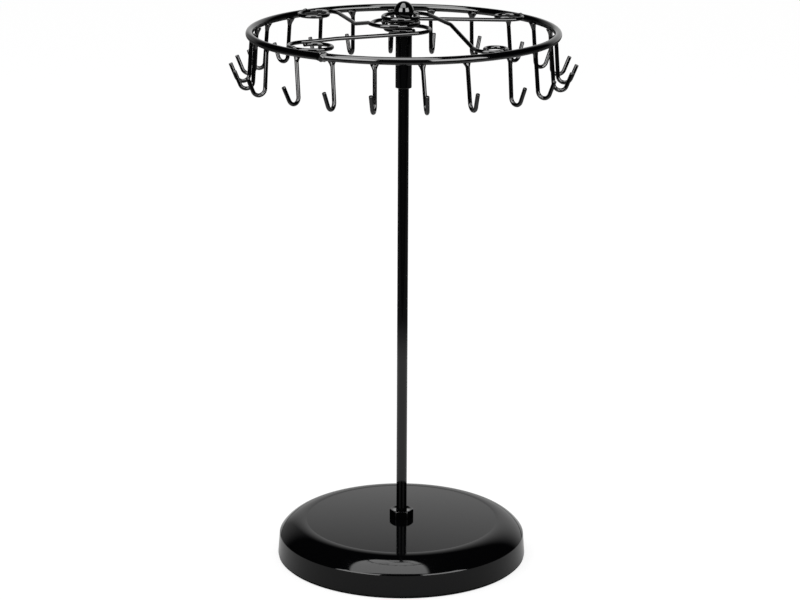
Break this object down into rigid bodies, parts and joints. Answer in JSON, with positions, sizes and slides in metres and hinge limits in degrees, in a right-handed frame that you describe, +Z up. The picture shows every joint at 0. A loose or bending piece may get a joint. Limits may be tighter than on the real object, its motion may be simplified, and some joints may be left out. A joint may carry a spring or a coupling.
{
  "type": "rotating necklace stand",
  "caption": "Black metal necklace carousel: a wire ring of open hooks on scrolled arms turns on a post that stands on a round weighted base.",
  "frame": {"origin": "on the floor under the middle of the post, at the pad's underside", "axes": "+Z up along the post, about which the wheel turns; -Y toward the viewer; +X to the viewer's right"},
  "size_m": [0.2218, 0.2207, 0.3714],
  "materials": {
    "black_enamel": "gloss black enamel over steel",
    "foam_pad": "matt black foam",
    "weight_iron": "turned disc, oiled",
    "zinc_steel": "zinc plated"
  },
  "bodies": {
    "stand": {"base_pad": "foam_pad", "base_weight": "weight_iron", "base_shell": "black_enamel", "post_rod": "black_enamel", "base_nut": "black_enamel", "base_washer": "zinc_steel", "lock_nut": "zinc_steel"},
    "wheel": {"ring": "black_enamel", "hub_sleeve": "black_enamel", "ball_finial": "black_enamel", "hook_01": "black_enamel", "hook_02": "black_enamel", "hook_03": "black_enamel", "hook_04": "black_enamel", "hook_05": "black_enamel", "hook_06": "black_enamel", "hook_07": "black_enamel", "hook_08": "black_enamel", "hook_09": "black_enamel", "hook_10": "black_enamel", "hook_11": "black_enamel", "hook_12": "black_enamel", "hook_13": "black_enamel", "hook_14": "black_enamel", "hook_15": "black_enamel", "hook_16": "black_enamel", "hook_17": "black_enamel", "hook_18": "black_enamel", "hook_19": "black_enamel", "hook_20": "black_enamel", "hook_21": "black_enamel", "hook_22": "black_enamel", "hook_23": "black_enamel", "scroll_1": "black_enamel", "scroll_2": "black_enamel", "scroll_3": "black_enamel", "scroll_4": "black_enamel", "hook_welds": "black_enamel", "scroll_welds": "black_enamel"}
  },
  "joints": [
    {"name": "wheel_spin", "type": "hinge", "parent": "stand", "child": "wheel", "pos_m": [0, 0, 0.3365], "axis": [0, 0, 1], "continuous": true}
  ]
}
